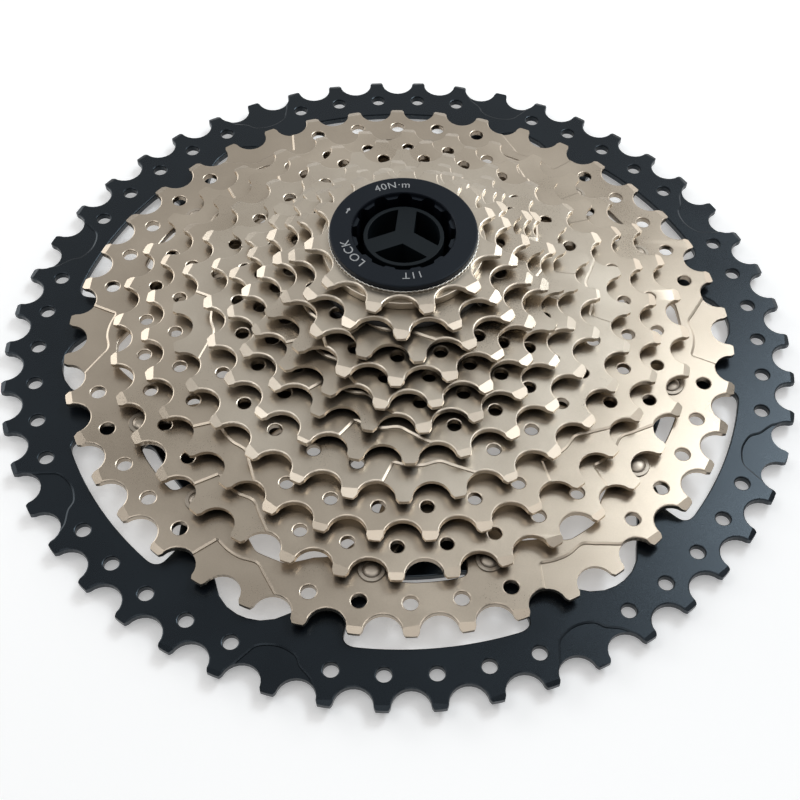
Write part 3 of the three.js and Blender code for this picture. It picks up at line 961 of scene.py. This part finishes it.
# Each soft light: its place, what it points at, width, depth, power and colour.
LIGHTS = {
    "right_behind": ((0.455, 0.46, 0.80), (0.08, -0.03, 0.0), 0.32, 0.32, 2.65, COOL_WHITE),
    "right_above": ((0.52, 0.10, 0.95), MIDDLE, 0.4, 0.4, 1.1, WHITE),
    "left_above": ((-0.50, 0.05, 0.95), MIDDLE, 0.4, 0.4, 1.0, WHITE),
    "front_above": ((0, -0.27, 1.0), MIDDLE, 0.5, 0.4, 0.85, WHITE),
    "left_behind": ((-0.85, 0.55, 0.40), MIDDLE, 0.8, 0.5, 2.6, WHITE),
    "right_low": ((0.75, 0.95, 0.42), MIDDLE, 0.6, 0.5, 1.3, WHITE),
}


def area_light(name, place, target, width, depth, power, colour):
    light = bpy.data.lights.new(name, "AREA")
    light.shape = "RECTANGLE"
    light.size = width
    light.size_y = depth
    light.energy = power
    light.color = colour
    obj = bpy.data.objects.new(name, light)
    bpy.context.scene.collection.objects.link(obj)
    obj.location = place
    obj.rotation_euler = (Vector(target) - Vector(place)).to_track_quat("-Z", "Y").to_euler()


def soft_world():
    """A pale room that is brighter behind the set and above it than in front."""
    world = bpy.data.worlds.new("studio")
    world.use_nodes = True
    tree = world.node_tree
    background = tree.nodes["Background"]
    coords = tree.nodes.new("ShaderNodeTexCoord")
    towards = tree.nodes.new("ShaderNodeVectorMath")
    towards.operation = "DOT_PRODUCT"
    towards.inputs[1].default_value = (0, 0.85, 0.53)
    tree.links.new(coords.outputs["Generated"], towards.inputs[0])
    shade = ramp(tree, towards.outputs["Value"], (0.12, 0.12, 0.12, 1), (0.56, 0.56, 0.553, 1),
                 0.0, 0.98)
    middle = shade.node.color_ramp.elements.new(0.8)
    middle.color = (0.34, 0.34, 0.336, 1)
    tree.links.new(shade, background.inputs["Color"])
    bpy.context.scene.world = world


def studio():
    soft_world()
    for name, values in LIGHTS.items():
        area_light(name, *values)


def camera():
    """Stands in front and above, turned slightly, as the set is shown."""
    plate_top = heights("sprocket_50t")[1] * MM
    place = Vector((0.00405, -0.22401, 0.28248))
    aim = Vector((0.01587, -0.01821, plate_top))
    roll = math.radians(3.738)
    data = bpy.data.cameras.new("camera")
    data.lens = 61.495
    data.shift_x = -0.0805
    data.sensor_width = 36
    data.clip_start = 0.01
    obj = bpy.data.objects.new("camera", data)
    bpy.context.scene.collection.objects.link(obj)
    look = (aim - place).to_track_quat("-Z", "Y").to_matrix().to_4x4()
    obj.matrix_world = Matrix.Translation(place) @ look @ Matrix.Rotation(roll, 4, "Z")
    bpy.context.scene.camera = obj


camera()
studio()
white_floor()
all_sprockets()
all_spacers()
arm_rivets()
long_rivets()
core()
washer()
all_print(lockring())
bpy.context.scene.view_settings.view_transform = "Standard"
